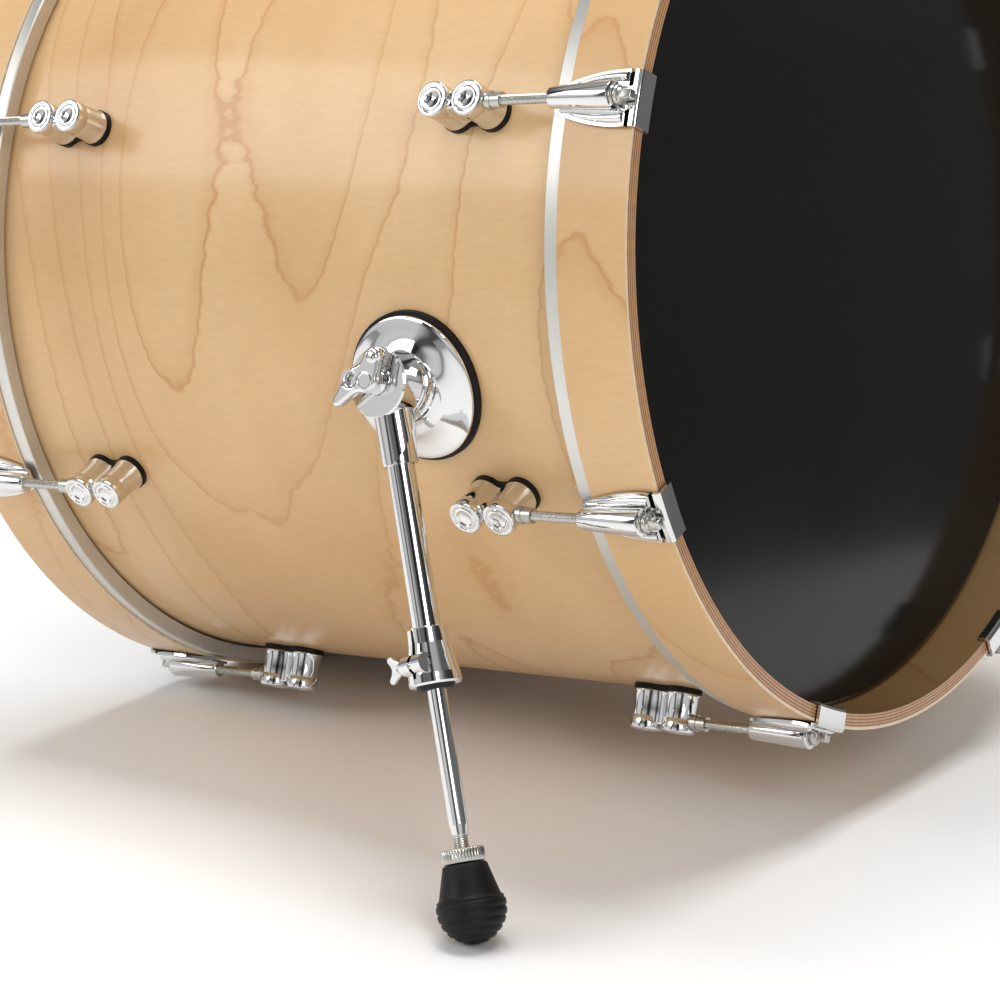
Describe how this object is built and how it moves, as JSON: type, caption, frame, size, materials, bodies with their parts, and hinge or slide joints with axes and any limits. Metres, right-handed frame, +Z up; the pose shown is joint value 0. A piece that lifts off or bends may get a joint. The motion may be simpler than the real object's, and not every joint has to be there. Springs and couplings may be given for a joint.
{
  "type": "bass drum",
  "caption": "Wood-shell bass drum with black front head, claw hooks, tension rods, double-post lugs and folding telescopic spurs.",
  "frame": {"origin": "on the floor, under the middle of the shell's axis", "axes": "+Z up from the floor, +X towards the front head, +Y across the drum towards its left spur; the drum's own axis leans up by 5.3 degrees towards +X"},
  "size_m": [0.588, 0.7682, 0.6317],
  "materials": {
    "maple": "clear gloss lacquer over curly-free maple veneer",
    "hoop_maple": "clear lacquer, ply edges visible",
    "aluminium": "satin extruded hoop",
    "black_film": "smooth gloss black polyester film",
    "white_film": "coated matt white polyester film",
    "brass": "polished eyelet",
    "rubber": "matt black rubber",
    "black_plastic": "moulded black nylon",
    "steel_screw": "plain steel",
    "zinc": "zinc-plated steel",
    "chrome": "polished chrome plate"
  },
  "bodies": {
    "drum": {"shell": "maple", "air_vent": "brass", "lug_gaskets": "rubber", "lug_screws": "steel_screw", "rod_receivers": "zinc", "claw_pads": "rubber", "rod_washers": "zinc", "spur_screws": "steel_screw", "front_head": "black_film", "front_flesh_hoop": "aluminium", "front_hoop": "hoop_maple", "front_lugs": "chrome", "front_claws": "chrome", "batter_head": "white_film", "batter_flesh_hoop": "aluminium", "batter_hoop": "hoop_maple", "batter_lugs": "chrome", "batter_claws": "chrome", "right_spur_gasket": "rubber", "right_spur_base": "chrome", "left_spur_gasket": "rubber", "left_spur_base": "chrome"},
    "front_rod_1": {"front_tension_rod_1": "zinc"},
    "front_rod_2": {"front_tension_rod_2": "zinc"},
    "front_rod_3": {"front_tension_rod_3": "zinc"},
    "front_rod_4": {"front_tension_rod_4": "zinc"},
    "front_rod_5": {"front_tension_rod_5": "zinc"},
    "front_rod_6": {"front_tension_rod_6": "zinc"},
    "front_rod_7": {"front_tension_rod_7": "zinc"},
    "front_rod_8": {"front_tension_rod_8": "zinc"},
    "batter_rod_1": {"batter_tension_rod_1": "zinc"},
    "batter_rod_2": {"batter_tension_rod_2": "zinc"},
    "batter_rod_3": {"batter_tension_rod_3": "zinc"},
    "batter_rod_4": {"batter_tension_rod_4": "zinc"},
    "batter_rod_5": {"batter_tension_rod_5": "zinc"},
    "batter_rod_6": {"batter_tension_rod_6": "zinc"},
    "batter_rod_7": {"batter_tension_rod_7": "zinc"},
    "batter_rod_8": {"batter_tension_rod_8": "zinc"},
    "right_leg": {"right_spur_leg_socket": "chrome", "right_spur_outer_tube": "chrome", "right_spur_clamp": "chrome", "right_spur_bushing": "black_plastic"},
    "right_wing": {"right_spur_wing_screw": "chrome"},
    "right_clamp_screw": {"right_spur_clamp_screw": "chrome"},
    "right_rod": {"right_spur_inner_rod": "chrome"},
    "right_nut": {"right_spur_lock_nut": "zinc"},
    "right_foot": {"right_spur_rubber_foot": "rubber"},
    "left_leg": {"left_spur_leg_socket": "chrome", "left_spur_outer_tube": "chrome", "left_spur_clamp": "chrome", "left_spur_bushing": "black_plastic"},
    "left_wing": {"left_spur_wing_screw": "chrome"},
    "left_clamp_screw": {"left_spur_clamp_screw": "chrome"},
    "left_rod": {"left_spur_inner_rod": "chrome"},
    "left_nut": {"left_spur_lock_nut": "zinc"},
    "left_foot": {"left_spur_rubber_foot": "rubber"}
  },
  "joints": [
    {"name": "front_rod_1_turn", "type": "hinge", "parent": "drum", "child": "front_rod_1", "pos_m": [0.22475, -0.11481, 0.05833], "axis": [0.9957, 0, 0.0924], "continuous": true},
    {"name": "front_rod_2_turn", "type": "hinge", "parent": "drum", "child": "front_rod_2", "pos_m": [0.20975, -0.27716, 0.21999], "axis": [0.9957, 0, 0.0924], "continuous": true},
    {"name": "front_rod_3_turn", "type": "hinge", "parent": "drum", "child": "front_rod_3", "pos_m": [0.18854, -0.27716, 0.44862], "axis": [0.9957, 0, 0.0924], "continuous": true},
    {"name": "front_rod_4_turn", "type": "hinge", "parent": "drum", "child": "front_rod_4", "pos_m": [0.17354, -0.11481, 0.61028], "axis": [0.9957, 0, 0.0924], "continuous": true},
    {"name": "front_rod_5_turn", "type": "hinge", "parent": "drum", "child": "front_rod_5", "pos_m": [0.17354, 0.11481, 0.61028], "axis": [0.9957, 0, 0.0924], "continuous": true},
    {"name": "front_rod_6_turn", "type": "hinge", "parent": "drum", "child": "front_rod_6", "pos_m": [0.18854, 0.27716, 0.44862], "axis": [0.9957, 0, 0.0924], "continuous": true},
    {"name": "front_rod_7_turn", "type": "hinge", "parent": "drum", "child": "front_rod_7", "pos_m": [0.20975, 0.27716, 0.21999], "axis": [0.9957, 0, 0.0924], "continuous": true},
    {"name": "front_rod_8_turn", "type": "hinge", "parent": "drum", "child": "front_rod_8", "pos_m": [0.22475, 0.11481, 0.05833], "axis": [0.9957, 0, 0.0924], "continuous": true},
    {"name": "batter_rod_1_turn", "type": "hinge", "parent": "drum", "child": "batter_rod_1", "pos_m": [-0.17354, -0.11481, 0.02138], "axis": [-0.9957, 0, -0.0924], "continuous": true},
    {"name": "batter_rod_2_turn", "type": "hinge", "parent": "drum", "child": "batter_rod_2", "pos_m": [-0.18854, -0.27716, 0.18304], "axis": [-0.9957, 0, -0.0924], "continuous": true},
    {"name": "batter_rod_3_turn", "type": "hinge", "parent": "drum", "child": "batter_rod_3", "pos_m": [-0.20975, -0.27716, 0.41167], "axis": [-0.9957, 0, -0.0924], "continuous": true},
    {"name": "batter_rod_4_turn", "type": "hinge", "parent": "drum", "child": "batter_rod_4", "pos_m": [-0.22475, -0.11481, 0.57333], "axis": [-0.9957, 0, -0.0924], "continuous": true},
    {"name": "batter_rod_5_turn", "type": "hinge", "parent": "drum", "child": "batter_rod_5", "pos_m": [-0.22475, 0.11481, 0.57333], "axis": [-0.9957, 0, -0.0924], "continuous": true},
    {"name": "batter_rod_6_turn", "type": "hinge", "parent": "drum", "child": "batter_rod_6", "pos_m": [-0.20975, 0.27716, 0.41167], "axis": [-0.9957, 0, -0.0924], "continuous": true},
    {"name": "batter_rod_7_turn", "type": "hinge", "parent": "drum", "child": "batter_rod_7", "pos_m": [-0.18854, 0.27716, 0.18304], "axis": [-0.9957, 0, -0.0924], "continuous": true},
    {"name": "batter_rod_8_turn", "type": "hinge", "parent": "drum", "child": "batter_rod_8", "pos_m": [-0.17354, 0.11481, 0.02138], "axis": [-0.9957, 0, -0.0924], "continuous": true},
    {"name": "right_leg_swing", "type": "hinge", "parent": "drum", "child": "right_leg", "pos_m": [0.11107, -0.30222, 0.28771], "axis": [-0.0203, -0.9755, 0.2189], "range_deg": [-95, 30]},
    {"name": "right_wing_turn", "type": "hinge", "parent": "drum", "child": "right_wing", "pos_m": [0.11107, -0.30222, 0.28771], "axis": [-0.0203, -0.9755, 0.2189], "range_deg": [0, 720]},
    {"name": "right_clamp_screw_turn", "type": "hinge", "parent": "right_leg", "child": "right_clamp_screw", "pos_m": [0.16529, -0.34799, 0.14455], "axis": [-0.9171, 0.1112, -0.3829], "range_deg": [0, 540]},
    {"name": "right_leg_slide", "type": "slide", "parent": "right_leg", "child": "right_rod", "axis": [0.3546, -0.2117, -0.9107], "range_m": [-0.06, 0.045]},
    {"name": "right_nut_turn", "type": "hinge", "parent": "right_rod", "child": "right_nut", "pos_m": [0.21035, -0.36151, 0.03271], "axis": [0.3546, -0.2117, -0.9107], "continuous": true},
    {"name": "right_foot_turn", "type": "hinge", "parent": "right_rod", "child": "right_foot", "pos_m": [0.21035, -0.36151, 0.03271], "axis": [0.3546, -0.2117, -0.9107], "continuous": true},
    {"name": "left_leg_swing", "type": "hinge", "parent": "drum", "child": "left_leg", "pos_m": [0.11107, 0.30222, 0.28771], "axis": [-0.0203, 0.9755, 0.2189], "range_deg": [-30, 95]},
    {"name": "left_wing_turn", "type": "hinge", "parent": "drum", "child": "left_wing", "pos_m": [0.11107, 0.30222, 0.28771], "axis": [-0.0203, 0.9755, 0.2189], "range_deg": [0, 720]},
    {"name": "left_clamp_screw_turn", "type": "hinge", "parent": "left_leg", "child": "left_clamp_screw", "pos_m": [0.16529, 0.34799, 0.14455], "axis": [-0.9171, -0.1112, -0.3829], "range_deg": [0, 540]},
    {"name": "left_leg_slide", "type": "slide", "parent": "left_leg", "child": "left_rod", "axis": [0.3546, 0.2117, -0.9107], "range_m": [-0.06, 0.045]},
    {"name": "left_nut_turn", "type": "hinge", "parent": "left_rod", "child": "left_nut", "pos_m": [0.21035, 0.36151, 0.03271], "axis": [0.3546, 0.2117, -0.9107], "continuous": true},
    {"name": "left_foot_turn", "type": "hinge", "parent": "left_rod", "child": "left_foot", "pos_m": [0.21035, 0.36151, 0.03271], "axis": [0.3546, 0.2117, -0.9107], "continuous": true}
  ]
}
